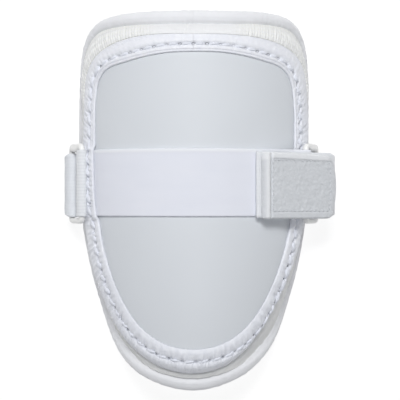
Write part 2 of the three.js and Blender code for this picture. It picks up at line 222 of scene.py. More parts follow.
class Nodes:
    def __init__(self, name, rough, specular=0.5, sheen=0.0, coat=0.0, sheen_rough=0.5):
        self.mat = bpy.data.materials.new(name)
        self.mat.use_nodes = True
        self.tree = self.mat.node_tree
        self.shader = self.tree.nodes["Principled BSDF"]
        s = self.shader.inputs
        s["Roughness"].default_value = rough
        s["Specular IOR Level"].default_value = specular
        s["Sheen Weight"].default_value = sheen
        s["Sheen Roughness"].default_value = sheen_rough
        s["Coat Weight"].default_value = coat
        s["Coat Roughness"].default_value = 0.3

    def node(self, kind, **inputs):
        n = self.tree.nodes.new(kind)
        for key, value in inputs.items():
            key = key.replace("_", " ")
            if isinstance(value, tuple) and len(value) == 2 and hasattr(value[0], "bl_idname"):
                self.tree.links.new(value[0].outputs[value[1]], n.inputs[key])
            else:
                n.inputs[key].default_value = value
        return n

    def flat(self, scale=(1, 1, 1), rotate=0.0):
        """The piece's own unrolled coordinates, in mm."""
        a = self.tree.nodes.new("ShaderNodeAttribute")
        a.attribute_name = "flat"
        m = self.tree.nodes.new("ShaderNodeMapping")
        m.inputs["Scale"].default_value = scale
        m.inputs["Rotation"].default_value = (0, 0, rotate)
        self.tree.links.new(a.outputs["Vector"], m.inputs["Vector"])
        return m

    def value(self, name):
        a = self.tree.nodes.new("ShaderNodeAttribute")
        a.attribute_name = name
        return (a, "Fac")

    def noise(self, vector, scale, detail=3.0, rough=0.55):
        return self.node("ShaderNodeTexNoise", Vector=(vector, "Vector"), Scale=scale, Detail=detail, Roughness=rough)

    def math(self, op, a, b=None, clamp=False):
        n = self.tree.nodes.new("ShaderNodeMath")
        n.operation = op
        n.use_clamp = clamp
        for i, v in enumerate((a, b)):
            if v is None:
                continue
            if isinstance(v, tuple):
                self.tree.links.new(v[0].outputs[v[1]], n.inputs[i])
            else:
                n.inputs[i].default_value = v
        return (n, "Value")

    def mix(self, factor, a, b, blend="MIX"):
        n = self.tree.nodes.new("ShaderNodeMix")
        n.data_type = "RGBA"
        n.blend_type = blend
        for socket, v in ((n.inputs[0], factor), (n.inputs[6], a), (n.inputs[7], b)):
            if isinstance(v, tuple) and len(v) == 2 and hasattr(v[0], "bl_idname"):
                self.tree.links.new(v[0].outputs[v[1]], socket)
            elif isinstance(v, (int, float)):
                socket.default_value = v
            else:
                socket.default_value = (*v, 1) if len(v) == 3 else v
        return (n, 2)

    def bands(self, vector, scale, axis="X", profile="SIN", distortion=0.0, detail=0.0):
        n = self.tree.nodes.new("ShaderNodeTexWave")
        n.wave_type, n.bands_direction, n.wave_profile = "BANDS", axis, profile
        n.inputs["Scale"].default_value = scale
        n.inputs["Distortion"].default_value = distortion
        n.inputs["Detail"].default_value = detail
        self.tree.links.new(vector.outputs["Vector"], n.inputs["Vector"])
        return n

    def bump(self, height, distance, strength=1.0, under=None):
        n = self.tree.nodes.new("ShaderNodeBump")
        n.inputs["Strength"].default_value = strength
        n.inputs["Distance"].default_value = distance
        self.tree.links.new(height[0].outputs[height[1]], n.inputs["Height"])
        if under is not None:
            self.tree.links.new(under.outputs["Normal"], n.inputs["Normal"])
        return n

    def finish(self, color, normal=None, rough=None):
        if isinstance(color, tuple) and len(color) == 2 and hasattr(color[0], "bl_idname"):
            self.tree.links.new(color[0].outputs[color[1]], self.shader.inputs["Base Color"])
        else:
            self.shader.inputs["Base Color"].default_value = (*color, 1)
        if normal is not None:
            self.tree.links.new(normal.outputs["Normal"], self.shader.inputs["Normal"])
        if rough is not None:
            self.tree.links.new(rough[0].outputs[rough[1]], self.shader.inputs["Roughness"])
        return self.mat


def plate_material():
    m = Nodes("plate_plastic", 0.5, specular=0.3, coat=0.03)
    v = m.flat()
    cloud = m.noise(v, 0.02, 2.0)
    base = m.mix((cloud, "Fac"), linear((219, 223, 228)), linear((223, 227, 232)))
    grain = m.noise(v, 1.7, 4.0)
    scuff = m.noise(m.flat((0.6, 0.05, 1), 0.5), 1.0, 3.0)
    rough = m.math("MULTIPLY_ADD", (scuff, "Fac"), 0.16)
    rough[0].inputs[2].default_value = 0.44
    soft = m.bump((m.noise(v, 0.05, 2.0), "Fac"), 0.0008, 0.25)
    return m.finish(base, m.bump((grain, "Fac"), 0.00005, 0.5, soft), rough)


def binding_material():
    m = Nodes("binding_leather", 0.5, specular=0.4, sheen=0.12)
    v = m.flat()
    grain = m.tree.nodes.new("ShaderNodeTexVoronoi")
    grain.feature = "F1"
    grain.inputs["Scale"].default_value = 1.35
    m.tree.links.new(v.outputs["Vector"], grain.inputs["Vector"])
    cloud = m.noise(v, 0.35, 4.0, 0.65)
    base = m.mix((cloud, "Fac"), linear((228, 231, 241)), linear((249, 250, 253)))
    # painted shade: the needle holes are darkened towards (54, 58, 70) by the hole mask
    holes_shaded = m.mix(m.value("hole"), base, linear((54, 58, 70)))
    # painted shade: the groove mask darkens the fold line, the stitch trench, the outer edge, the sides, the lower end
    # and the underside
    painted_shade = m.mix(m.value("groove"), holes_shaded, linear((196, 200, 210)))
    coarse = m.bump((m.noise(v, 0.5, 4.0), "Fac"), 0.0006, 0.7)
    return m.finish(painted_shade, m.bump((grain, "Distance"), 0.00009, 0.6, coarse))


def knit_material(name, light, shade, pitch=0.95, tint="tint"):
    m = Nodes(name, 0.86, specular=0.2, sheen=0.25, sheen_rough=0.6)
    v = m.flat()
    wale = m.bands(v, 0.5 / pitch, "X", distortion=1.2, detail=1.0)
    course = m.bands(v, 1 / pitch / 1.4, "Y", distortion=1.2, detail=1.0)
    loops = m.math("MULTIPLY", (wale, "Fac"), (course, "Fac"))
    cloud = m.noise(v, 0.15, 3.0)
    base = m.mix((cloud, "Fac"), linear(light), tuple(c * 0.97 for c in linear(light)))
    fine = m.mix(m.math("MULTIPLY", loops, 0.18), base, tuple(c * 0.8 for c in linear(light)))
    color = m.mix(m.value(tint), fine, linear(shade))
    soft = m.bump((m.noise(v, 0.35, 3.0), "Fac"), 0.0005, 0.4)
    return m.finish(color, m.bump(loops, 0.00018, 0.7, soft))


def rim_material():
    m = Nodes("rim_tape", 0.72, specular=0.3, sheen=0.25, sheen_rough=0.5)
    v = m.flat()
    cross = m.bands(v, 0.9, "X", distortion=2.0, detail=2.0)
    cloud = m.noise(v, 0.1, 3.0)
    base = m.mix((cloud, "Fac"), linear((234, 235, 239)), linear((242, 243, 246)))
    # painted shade along the roll's two sewn lines, from the tint mask
    color = m.mix(m.value("tint"), base, linear((214, 215, 217)))
    soft = m.bump((m.noise(v, 0.25, 3.0), "Fac"), 0.0006, 0.45)
    return m.finish(color, m.bump((cross, "Fac"), 0.00006, 0.5, soft))


def band_material():
    m = Nodes("band_elastic", 0.8, specular=0.2, sheen=0.35, sheen_rough=0.55)
    v = m.flat()
    nap = m.noise(v, 2.6, 3.0, 0.7)
    cloud = m.noise(m.flat((0.4, 1, 1)), 0.09, 3.0)
    rows = m.bands(v, 0.62, "Y", distortion=0.8, detail=1.0)
    base = m.mix((cloud, "Fac"), linear((232, 235, 245)), linear((239, 241, 249)))
    lined = m.mix(m.math("MULTIPLY", (rows, "Fac"), 0.10), base, linear((206, 210, 222)))
    color = m.mix(m.value("tint"), lined, linear((244, 246, 250)))
    soft = m.bump((rows, "Fac"), 0.00008, 0.4)
    return m.finish(color, m.bump((nap, "Fac"), 0.00016, 0.6, soft))


def webbing_material():
    m = Nodes("webbing", 0.78, specular=0.25, sheen=0.2)
    v = m.flat()
    pick = m.bands(v, 0.85, "X", distortion=1.0, detail=1.0)
    cloud = m.noise(v, 0.2, 3.0)
    base = m.mix((cloud, "Fac"), linear((231, 234, 238)), linear((242, 244, 247)))
    # the tint mask darkens the webbing: painted shade between the ribs, and on the strap its loop round the left ring
    # is darker too
    color = m.mix(m.value("tint"), base, linear((214, 218, 224)))
    soft = m.bump((m.noise(v, 1.4, 3.0), "Fac"), 0.00015, 0.5)
    return m.finish(color, m.bump((pick, "Fac"), 0.00012, 0.5, soft))


def tab_material():
    m = Nodes("tab_pile", 0.92, specular=0.12, sheen=0.35, sheen_rough=0.7)
    v = m.flat()
    pile = m.noise(v, 1.6, 5.0, 0.75)
    clump = m.noise(v, 0.32, 4.0, 0.7)
    base = m.mix((clump, "Fac"), linear((206, 210, 214)), linear((236, 238, 242)))
    deep = m.mix(m.math("MULTIPLY", (pile, "Fac"), 0.35), base, linear((176, 181, 188)))
    # the tint mask lightens the tab: painted light on the upper hem and the fat fold, with the groove beside the fold
    # left darker as painted shade
    color = m.mix(m.value("tint"), deep, linear((242, 244, 247)))
    soft = m.bump((clump, "Fac"), 0.0006, 0.5)
    return m.finish(color, m.bump((pile, "Fac"), 0.0004, 0.8, soft))


def ring_material():
    m = Nodes("ring_plastic", 0.38, specular=0.45)
    v = m.flat()
    cloud = m.noise(v, 0.3, 3.0)
    base = m.mix((cloud, "Fac"), linear((244, 244, 243)), linear((250, 250, 249)))
    return m.finish(base, m.bump((m.noise(v, 1.2, 3.0), "Fac"), 0.0001, 0.4))


def thread_material():
    m = Nodes("thread", 0.6, specular=0.3, sheen=0.2)
    v = m.flat()
    twist = m.bands(m.flat((1, 1, 1), 0.8), 1.1, "X")
    base = m.mix((twist, "Fac"), linear((236, 240, 252)), linear((246, 248, 254)))
    return m.finish(base, m.bump((twist, "Fac"), 0.0001, 0.8))


MATERIALS = {
    "plate": plate_material(),
    "binding": binding_material(),
    "pad": knit_material("pad_knit", (249, 250, 252), (241, 241, 234)),
    "lining": knit_material("pad_lining", (240, 241, 241), (222, 223, 221), 1.3),
    "rim": rim_material(),
    "band": band_material(),
    "webbing": webbing_material(),
    "tab": tab_material(),
    "ring": ring_material(),
    "thread": thread_material(),
}


# ---------------------------------------------------------------- meshes
def grid_faces(rows, columns, close_rows=False, close_columns=False):
    i = np.arange(rows if close_rows else rows - 1)
    j = np.arange(columns if close_columns else columns - 1)
    i, j = np.meshgrid(i, j, indexing="ij")
    i2, j2 = (i + 1) % rows, (j + 1) % columns
    return np.stack([i * columns + j, i * columns + j2, i2 * columns + j2, i2 * columns + j], -1).reshape(-1, 4)


def piece(name, points, faces, material, nodes, flat=None, values=None, extra_faces=()):
    """A closed mesh from points in mm, arm frame. flat holds mm coordinates for its pattern."""
    points = np.asarray(points, float).reshape(-1, 3)
    faces = [tuple(int(k) for k in f) for f in np.asarray(faces)] + [tuple(int(k) for k in f) for f in extra_faces]
    placed = (points - [MIDDLE_X, MIDDLE_Y, 0]) * MM
    mesh = bpy.data.meshes.new(name)
    mesh.from_pydata([tuple(p) for p in placed], [], faces)
    # faces point outwards
    tri = []
    for f in faces:
        for k in range(1, len(f) - 1):
            tri.append((f[0], f[k], f[k + 1]))
    tri = np.array(tri)
    a, b, c = (placed[tri[:, k]] for k in range(3))
    if np.einsum("ij,ij->i", a, np.cross(b, c)).sum() < 0:
        mesh.flip_normals()
    mesh.polygons.foreach_set("use_smooth", [True] * len(mesh.polygons))
    layer = mesh.attributes.new("flat", "FLOAT_VECTOR", "POINT")
    layer.data.foreach_set("vector", np.asarray(points if flat is None else flat, float).reshape(-1).astype(np.float32))
    for key, value in (values or {}).items():
        layer = mesh.attributes.new(key, "FLOAT", "POINT")
        layer.data.foreach_set("value", np.clip(np.asarray(value, float).reshape(-1), 0, 1).astype(np.float32))
    mesh.update()
    mesh.validate()
    obj = bpy.data.objects.new(name, mesh)
    bpy.context.scene.collection.objects.link(obj)
    mesh.materials.append(MATERIALS[material])
    if nodes:
        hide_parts(*nodes)
    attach(obj, "root")
    return obj


def poles(rows, columns):
    """Fans that close the first and the last loop of a grid to one added point each."""
    first, last = rows * columns, rows * columns + 1
    end = (rows - 1) * columns
    j = np.arange(columns)
    k = (j + 1) % columns
    return [(first, b, a) for a, b in zip(j, k)] + [(last, end + a, end + b) for a, b in zip(j, k)]


# ---- the plate: one smooth shell that runs on under its binding
def build_plate():
    st = Stations("plate", 480)
    inner, outer = st.at["plate"], st.at["binding"]
    levels = [(0.06, 0), (0.16, 0), (0.28, 0), (0.4, 0), (0.52, 0), (0.63, 0), (0.73, 0), (0.82, 0), (0.89, 0), (0.94, 0), (0.975, 0), (1, 0), (1, 0.15), (1, 0.32), (1, 0.47), (1, 0.5)]
    rows, flat = [], []
    for level, past in levels:
        at = inner * level + (outer - inner) * past
        dip = 0.10 * mottle(at[:, 0], at[:, 1], 46, 3)
        n = 1.0 + dip * (1 - past * 2) - (0.35 if past == 0.5 else 0.08 if past == 0.47 else 0)
        rows.append(over(at[:, 0], at[:, 1], n))
        flat.append(np.column_stack([at, n]))
    for level, past in reversed(levels):
        at = inner * level + (outer - inner) * past
        n = np.full(len(at), -1.2 + (0.35 if past == 0.5 else 0.08 if past == 0.47 else 0))
        rows.append(over(at[:, 0], at[:, 1], n))
        flat.append(np.column_stack([at, n]))
    count = len(rows)
    points = np.concatenate([*rows, over(0, 0, 1.0 + 0.10 * mottle(0, 0, 46, 3))[None], over(0, 0, -1.2)[None]])
    flat = np.concatenate([*flat, [[0, 0, 1.0]], [[0, 0, -1.2]]])
    return piece("plate_skin", points, grid_faces(count, 480, close_columns=True), "plate", ["shell_plate"], flat, extra_faces=poles(count, 480))


# ---- the binding and its stitches
# about 6.8 mm a stitch, a whole number of them round the plate
STITCH_PITCH = Stations("plate", 8).length / round(Stations("plate", 8).length / 6.8)
STITCH_IN = through([0, 60, 90, 105, 120, 140, 180], [4.3, 4.2, 4.2, 4.9, 6.0, 6.8, 6.9])


def lift_left(s, y):
    """The binding rises where the band's sewn end passes under it."""
    return 1.25 * window(y, -8.6, 27.8, 3.0) * ramp(-s, 52, 58)


def seam_step(s, y):
    """The overlap where the binding's ends meet at the middle of the wide end."""
    line = -4.6 + 1.1 * np.sin((y - 86) * 0.42)
    d = s - line
    return ramp(y, 83.5, 86.0) * 0.42 * np.exp(-np.maximum(d, 0) / 5.0) * (1 / (1 + np.exp(-d / 0.16))) * (s < 22)


def lower_end(st):
    return ramp(st.half[:, None], 108, 140)


def binding_height(st, across, d, width):
    """n of the binding's outer face at distance d from its inner edge."""
    stitch = STITCH_IN(st.half)[:, None]
    t = (st.along / st.length)[:, None]
    lower = ramp(st.half[:, None], 108, 140)
    inward = np.sqrt(np.clip(1 - (1 - np.clip(d / (0.8 + 2.2 * lower), 0, 1)) ** 2, 0, 1)) ** (1 + 0.3 * lower)
    outward = np.sqrt(np.clip(1 - (1 - np.clip((width - d) / (3.4 + 1.4 * lower), 0, 1)) ** 2, 0, 1))
    wide = 1 - ramp(st.half[:, None], 46, 66)
    floor = -2.5 + 3.45 * wide + 0.3 * lower
    rise = 1.5 - 0.55 * wide - 0.35 * lower
    crown = 1.12 + rise - 0.9 * wide * ramp(across, 0.5, 1.0) - 1.0 * lower * ramp(across, 0.6, 1.0)
    top = np.where(across < 0.5, 1.12 + rise * inward, floor + (crown - floor) * outward)
    top = top - 0.42 * np.exp(-(((d - 1.3) / 0.26) ** 2)) * (1 - 0.85 * ramp(st.half[:, None], 60, 120))
    top = top + 0.35 * np.exp(-(((d - stitch * 0.45) / (stitch * 0.33)) ** 2))
    top = top + 0.40 * np.exp(-(((d - stitch - (width - stitch) * 0.36) / ((width - stitch) * 0.28)) ** 2))
    trench = np.exp(-(((d - stitch) / 0.95) ** 2))
    side = window(st.half[:, None], 42, 132, 14)
    top = top - 0.55 * trench * (1 - 0.5 * side)
    phase = (st.along[:, None] / STITCH_PITCH) % 1.0
    hole = np.exp(-((np.minimum(phase, 1 - phase) * STITCH_PITCH / (0.8 + 0.28 * (1 - side) * wide - 0.12 * lower)) ** 2))
    tight = np.exp(-((np.minimum(phase, 1 - phase) * STITCH_PITCH / 2.2) ** 2))
    pit = hole * np.exp(-(((d - stitch) / 0.62) ** 2))
    top = top - 0.75 * pit
    near = np.exp(-(((d - stitch) / 2.6) ** 2))
    top = top + near * (1 - 0.4 * wide) * (0.20 * (1 - tight) - 0.16 * tight)
    slant = (phase + 0.22 * (d - stitch)) * 2 * np.pi
    top = top + side * 0.34 * np.exp(-(((d - stitch) / 2.3) ** 2)) * -np.cos(slant)
    loose = np.sin(np.pi * np.clip(across, 0, 1)) ** 0.7
    pucker = 1 - 0.55 * wide + 1.0 * ramp(st.half[:, None], 116, 150) + 0.5 * side
    top = top + pucker * loose * (0.11 * ripple(t, across, (60, 190), 5) + 0.08 * ripple(t, across, (18, 60), 6, lean=0.6))
    top = top + 0.10 * pucker * near * ripple(t, across, (150, 330), 7, lean=2.2)
    return top, pit, trench


def build_binding():
    count = 1500
    st = Stations("plate", count)
    inner, outer = st.at["plate"], st.at["binding"]
    reach = outer - inner
    width = np.einsum("ij,ij->i", reach, st.out["plate"])[:, None]
    ks = np.unique(np.concatenate([np.linspace(0, 0.12, 7), np.linspace(0.12, 0.82, 24), np.linspace(0.82, 1, 9)]))
    across = np.broadcast_to(ks[None, :], (count, len(ks)))
    d = across * width
    top, pit, trench = binding_height(st, across, d, width)
    at = inner[:, None, :] + reach[:, None, :] * across[..., None]
    lift = lift_left(at[..., 0], at[..., 1])
    step = seam_step(at[..., 0], at[..., 1])
    # a second fold line beside the plate at the wide end, further off at its corners
    fold = window(st.half[:, None], -1, 56, 8) * np.exp(-(((d - 0.95 - 0.85 * window(st.half[:, None], 26, 50, 8)) / 0.24) ** 2))
    top = top + lift + step * (across > 0.42) - 0.20 * fold
    # some holes gape and some are pulled shut, so the painted shade in the holes is deeper in some than in others
    gape = np.random.default_rng(19).uniform(0.3, 1.5, 400)[np.round(st.along / STITCH_PITCH).astype(int)][:, None]
    upper = over(at[..., 0], at[..., 1], top)
    under = [(1.0, -2.62), (0.8, -2.75), (0.62, -2.7), (0.6, -0.5), (0.6, 1.02), (0.3, 1.06), (0.03, 1.06)]
    low, low_flat = [], []
    for a, n in under:
        p = inner + reach * a
        rise = lift_left(p[:, 0], p[:, 1]) if n > 0 else 0
        nn = np.zeros(count) + n + rise
        low.append(over(p[:, 0], p[:, 1], nn))
        low_flat.append(np.column_stack([p, nn]))
    points = np.concatenate([upper, np.stack(low, 1)], 1)
    along = np.broadcast_to(st.along[:, None], across.shape)
    flat = np.concatenate([np.stack([along, d, top], -1), np.stack(low_flat, 1)], 1)
    zero = np.zeros((count, len(under)))
    values = {
        # hole: painted shade in the needle holes, lighter along the sides
        "hole": np.concatenate([np.clip(gape * (pit * 1.7 - 0.35), 0, 1) * (0.86 + 0.12 * lower_end(st) - 0.5 * window(st.half[:, None], 46, 112, 10)), zero], 1),
        # groove: painted shade in the fold line and stitch trench, along the outer edge, over the sides, the lower end
        # and the underside
        "groove": np.concatenate([0.36 * fold + np.clip(trench * 0.45 - 0.1, 0, 1) * (0.2 + 0.35 * lower_end(st)) + 0.2 * lower_end(st) + 0.16 * window(st.half[:, None], 55, 95, 10) + (0.5 * ramp(st.half[:, None], 40, 70) + 0.1 * lower_end(st)) * (1 - ramp(width - d, 0, 1.3)), zero + 0.4], 1),
    }
    obj = piece("binding_skin", points, grid_faces(count, points.shape[1], True, True), "binding", ["edge_binding"], flat, values)
    return obj, st


def build_stitches():
    """Each stitch is a short plump thread that dips into a hole at both ends."""
    st = Stations("plate", 5120)
    total = round(st.length / STITCH_PITCH)
    pitch = st.length / total
    rng = np.random.default_rng(11)
    sides, steps = 8, 11
    points, faces, flat = [], [], []
    for k in range(total):
        side_k = float(window(st.half[int((k + 0.5) * pitch / st.length * st.count) % st.count], 42, 132, 14))
        lean = 0.55 + 1.0 * side_k + rng.uniform(-0.12, 0.12)
        low_k = float(ramp(st.half[int((k + 0.5) * pitch / st.length * st.count) % st.count], 108, 140))
        tip = 0.17 - 0.04 * low_k
        f = np.linspace(tip, 1 - tip, steps)
        along = (k + f) * pitch
        i = (along / st.length * st.count).astype(int) % st.count
        inner, reach = st.at["plate"][i], st.at["binding"][i] - st.at["plate"][i]
        width = np.einsum("ij,ij->i", reach, st.out["plate"][i])
        d = STITCH_IN(st.half[i]) + lean * (f - 0.5) * 1.7
        at = inner + reach * (d / width)[:, None]
        hump = np.sin(np.pi * np.clip((f - tip) / (1 - 2 * tip), 0, 1)) ** 0.55
        low_by = 0.5 * (1 - ramp(st.half[i], 46, 66)) + 0.3 * ramp(st.half[i], 108, 140)
        n = 1.45 - low_by + (0.95 + 0.45 * side_k) * hump + lift_left(at[:, 0], at[:, 1])
        centre = over(at[:, 0], at[:, 1], n)
        run = np.gradient(centre, axis=0)
        run /= np.linalg.norm(run, axis=1, keepdims=True)
        up = arch_normal(at[:, 0], at[:, 1])
        side = np.cross(run, up)
        side /= np.linalg.norm(side, axis=1, keepdims=True)
        up = np.cross(side, run)
        girth = (0.78 + 0.50 * side_k) * (0.55 + 0.45 * np.sin(np.pi * np.clip((f - tip) / (1 - 2 * tip), 0, 1)) ** 0.5) * rng.uniform(0.93, 1.07)
        base = len(points)
        for j in range(steps):
            for q in range(sides):
                a = 2 * np.pi * q / sides
                points.append(centre[j] + girth[j] * (1.05 * math.cos(a) * side[j] + 0.85 * math.sin(a) * up[j]))
                flat.append((along[j], girth[j] * a, d[j]))
        for j in range(steps - 1):
            for q in range(sides):
                w = (q + 1) % sides
                faces.append((base + j * sides + q, base + j * sides + w, base + (j + 1) * sides + w, base + (j + 1) * sides + q))
        faces.append(tuple(base + q for q in reversed(range(sides))))
        faces.append(tuple(base + (steps - 1) * sides + q for q in range(sides)))
    quads = [f for f in faces if len(f) == 4]
    caps = [f for f in faces if len(f) != 4]
    return piece("binding_stitches", points, quads, "thread", ["edge_binding"], flat, extra_faces=caps)


# ---- the pad: knit cover with a puffed band and a sunk channel, and its lining
def build_pad():
    count = 1600
    st = Stations("rim", count)
    plate, binding, rim = st.at["plate"], st.at["binding"], st.at["rim"]
    reach = rim - binding
    gap = np.linalg.norm(reach, axis=1)
    t = (st.along / st.length)[:, None]
    half = st.half[:, None]
    wide = 1 - ramp(half, 50, 66)
    low = ramp(half, 108, 140)
    rows, flat, tints = [], [], []

    def add(at, n, tint):
        rows.append(over(at[:, 0], at[:, 1], n))
        flat.append(np.column_stack([at, np.zeros(count) + n]))
        tints.append(np.zeros(count) + tint)

    for level in (0.1, 0.35, 0.6, 0.82, 0.95):
        add(plate * level, -3.4, 0.5)
    add(plate + (binding - plate) * 0.55, -3.4, 0.5)
    add(plate + (binding - plate) * 0.86, -3.2, 0.6)
    v = np.concatenate([[-0.02, 0.002, 0.009], np.linspace(0.03, 1.0, 28)])[None, :]
    roll = (1 - 4.3 / gap)[:, None]
    u = np.clip(v / roll, 0, 1.25)
    crest = np.sin(np.pi * np.clip(u, 0, 1) ** 0.8)
    puff = np.clip(crest, 0, 1) ** 0.65
    n_wide = -2.9 + 4.0 * ramp(u, 0.002, 0.012) + 0.55 * puff - 4.75 * np.clip(u, 0, 1) ** 1.35 - 2.6 * ramp(u, 1.0, 1.3)
    n_side = -2.9 - 0.6 * ramp(u, 0, 0.4) + 0.5 * np.clip(crest, 0, 1) - 3.2 * ramp(u, 0.9, 1.25)
    n_low = -3.0 + 0.5 * ramp(u, 0.0, 0.4) - 0.5 * ramp(u, 0.5, 1.15) - 2.4 * ramp(u, 1.2, 1.25)
    # lower beside the roll along the two slanted sides, so that the roll shows there
    n_low = n_low - 1.9 * ramp(u, 0.35, 1.0) * (1 - ramp(half, 150, 170))
    n = wide * n_wide + (1 - wide) * ((1 - low) * n_side + low * n_low)
    # gathered ribs at the two corners of the wide end
    gather = window(half, 19, 48, 8)
    s_along = st.along[:, None]
    wander = 0.55 * ripple(t, v, (8, 30), 21, lean=0.4)
    ribs = np.sin(2 * np.pi * (s_along / 2.05 + wander * 0.14 + 0.10 * v))
    courses = np.cos(2 * np.pi * (3.0 * np.clip(u, 0, 1) + 0.05 * wander))
    blocks = 0.60 + 0.48 * courses
    # the same open knit, fainter, all along the wide end
    n = n + window(half, -1, 66, 10) * (1 - gather) * 0.10 * ribs * courses * np.clip(crest, 0, 1) ** 0.35
    n = n + gather * (0.40 * ribs * blocks + 0.12 * ripple(t, v, (90, 240), 22)) * np.clip(crest, 0, 1) ** 0.35
    faint = window(half, -1, 70, 10) * (1 - gather)
    n = n + faint * 0.07 * ripple(t, v, (70, 220), 23) * np.clip(crest, 0, 1)
    n = n + (1 - wide) * 0.08 * ripple(t, v, (30, 120), 24)
    # a thin cord line along the roll at the wide end
    n = n + wide * 0.40 * np.exp(-(((u - 0.93) / 0.05) ** 2))
    at = binding[:, None, :] + reach[:, None, :] * v[..., None]
    # one crease across the cover at the middle of the wide end
    crease = np.exp(-(((at[..., 0] + 5.0 - 1.6 * np.sin(v * 3.2)) / 0.5) ** 2)) * window(half, -1, 12, 3) * (v < 0.85)
    n = n - 0.34 * crease
    shade = 0.14 * crease + (1 - wide) * (0.20 + 0.1 * low - 0.10 * np.clip(crest, 0, 1)) + wide * (0.10 * (1 - puff) + 0.20 * gather) + 0.5 * wide * gather * ramp(-ribs * blocks, 0.1, 0.8)
    for j in range(v.shape[1]):
        add(at[:, j], n[:, j], shade[:, j])
    for inset, depth in ((1.2, -8.5), (3.2, -10.6), (6.0, -11.8)):
        add(rim - st.out["rim"] * inset, depth, 0.35)
    for level in (0.86, 0.74, 0.62, 0.5, 0.38, 0.26, 0.14, 0.05):
        edge = rim - st.out["rim"] * 6.0
        a = edge * level
        add(a, -12.1 + 0.18 * mottle(a[:, 0], a[:, 1], 34, 31), 0.3)
    total = len(rows)
    points = np.concatenate([*rows, over(0, 0, -3.4)[None], over(0, 0, -12.1)[None]])
    flat = np.concatenate([*flat, [[0, 0, -3.4]], [[0, 0, -12.1]]])
    values = {"tint": np.concatenate([*tints, [0.5], [0.3]])}
    obj = piece("pad_cover", points, grid_faces(total, count, close_columns=True), "pad", ["pad_body"], flat, values, poles(total, count))
    obj.data.materials.append(MATERIALS["lining"])
    # the last rows are the lining
    split = (total - 10) * count
    which = np.zeros(len(obj.data.polygons), np.int32)
    starts = np.empty(len(obj.data.polygons), np.int32)
    obj.data.polygons.foreach_get("loop_start", starts)
    loops = np.empty(len(obj.data.loops), np.int32)
    obj.data.loops.foreach_get("vertex_index", loops)
    first = loops[starts]
    which[(first >= split) & (first != total * count)] = 1
    obj.data.polygons.foreach_set("material_index", which)
    return obj


# ---- the rolled rim
def build_rim():
    count, sides = 1280, 30
    st = Stations("rim", count)
    t = (st.along / st.length)[:, None]
    s, y = st.at["rim"][:, 0], st.at["rim"][:, 1]
    middle = over(s, y, -7.0)
    up = arch_normal(s, y)
    out = st.out["rim"]
    outer = over(s + out[:, 0], y + out[:, 1], -7.0) - middle
    outer -= up * np.einsum("ij,ij->i", outer, up)[:, None]
    outer /= np.linalg.norm(outer, axis=1, keepdims=True)
    a = np.linspace(0, 2 * np.pi, sides, endpoint=False)[None, :]
    half = st.half[:, None]
    corner = window(half, 26, 50, 8)
    r = 4.2 + 0.55 * ramp(half, 130, 165) + 0.05 * ripple(t, a / 6.28, (40, 150), 41) + corner * 0.07 * ripple(t, a / 6.28, (150, 330), 42, lean=0.5)
    # a sewn line along the roll, low on its outer side, and one on its inner side
    r = r - 0.36 * np.exp(-(((a - 2.05) / 0.13) ** 2)) - (0.12 + 0.16 * (1 - ramp(half, 50, 70))) * np.exp(-(((a - 5.6) / 0.14) ** 2))
    p = middle[:, None, :] + r[..., None] * (np.cos(a)[..., None] * up[:, None, :] * 0.97 + np.sin(a)[..., None] * outer[:, None, :])
    side = np.abs(s)[:, None] > 60
    rest = np.where(side, 2.9 * window(p[..., 1], -12.0, 28.2, 3.6), 0.0)
    z = p[..., 2]
    # soft where it meets the surface that it rests on
    p[..., 2] = np.where(z < rest + 0.5, rest + 0.5 * np.exp(np.clip((z - rest - 0.5) / 0.5, -30, 0)), z)
    p[..., 2] = np.maximum(p[..., 2], 0.0)
    flat = np.stack(np.broadcast_arrays(st.along[:, None], a * 4.2, 0 * t), -1)
    # painted shade along the two sewn lines, deeper on the inner one at the wide end
    seam_shade = 0.5 * np.exp(-(((a - 2.05) / 0.16) ** 2)) + (0.3 + 0.4 * (1 - ramp(half, 50, 70))) * np.exp(-(((a - 5.55) / 0.24) ** 2))
    values = {"tint": np.broadcast_to(seam_shade, (count, sides))}
    obj = piece("rim_roll", p, grid_faces(count, sides, True, True), "rim", ["pad_rim"], flat, values)
    return obj


# ---------------------------------------------------------------- straps
def catmull(points, pitch):
    """A smooth line through points in the plane across the arm, in steps of about pitch."""
    p = np.asarray(points, float)
    p = np.concatenate([[2 * p[0] - p[1]], p, [2 * p[-1] - p[-2]]])
    line = []
    for i in range(1, len(p) - 2):
        k = [0.0]
        for j in range(3):
            k.append(k[-1] + np.linalg.norm(p[i + j] - p[i + j - 1]) ** 0.5)
        for t in np.linspace(k[1], k[2], 24, endpoint=False):
            a = [((k[j + 1] - t) * p[i + j - 1] + (t - k[j]) * p[i + j]) / (k[j + 1] - k[j]) for j in range(3)]
            b = [((k[j + 2] - t) * a[j] + (t - k[j]) * a[j + 1]) / (k[j + 2] - k[j]) for j in range(2)]
            line.append(((k[2] - t) * b[0] + (t - k[1]) * b[1]) / (k[2] - k[1]))
    line.append(p[-2])
    return spaced(np.array(line), pitch)


def spaced(line, pitch):
    step = np.linalg.norm(np.diff(line, axis=0), axis=1)
    length = np.concatenate([[0], np.cumsum(step)])
    count = max(4, int(round(length[-1] / pitch)))
    want = np.linspace(0, length[-1], count + 1)
    return np.stack([np.interp(want, length, line[:, k]) for k in range(line.shape[1])], -1)


